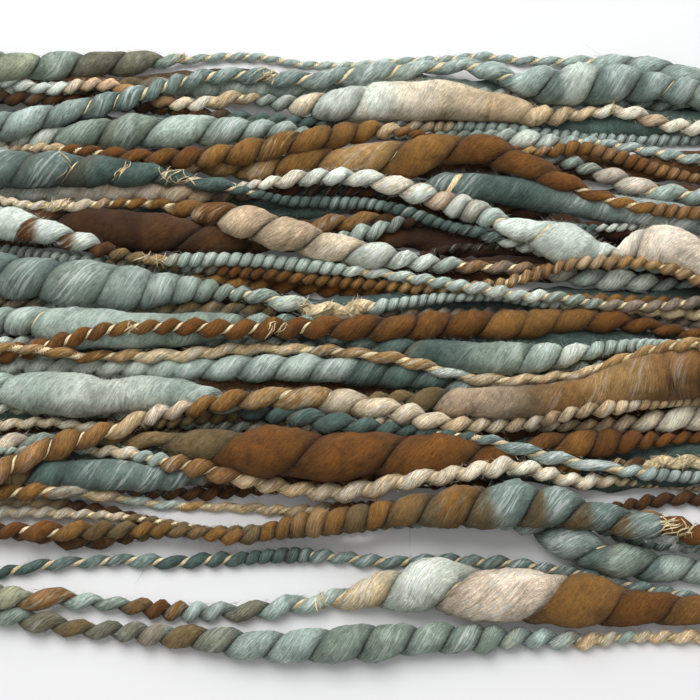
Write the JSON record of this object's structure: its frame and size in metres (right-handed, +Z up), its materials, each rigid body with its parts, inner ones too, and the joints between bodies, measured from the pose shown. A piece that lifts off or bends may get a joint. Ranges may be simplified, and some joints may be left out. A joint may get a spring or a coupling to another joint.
{
  "type": "hank of art yarn",
  "caption": "Opened hank of hand-spun thick-and-thin art yarn lying flat, wool plies twisted together with a fine gold thread, with rounded turned ends and a flat underside.",
  "frame": {"origin": "under the middle of the hank, on the surface it lies on", "axes": "+X along the hank from one turned end to the other, +Y towards its far side, +Z up"},
  "size_m": [0.4506, 0.1806, 0.0266],
  "materials": {
    "wool": "soft carded wool with a slight silky sheen, in slate teal, aqua, rust brown, caramel, ivory and beige",
    "gold_thread": "fine dry golden plant fibre thread with loose hairs"
  },
  "bodies": {
    "root": {"hank": "wool"}
  },
  "joints": []
}
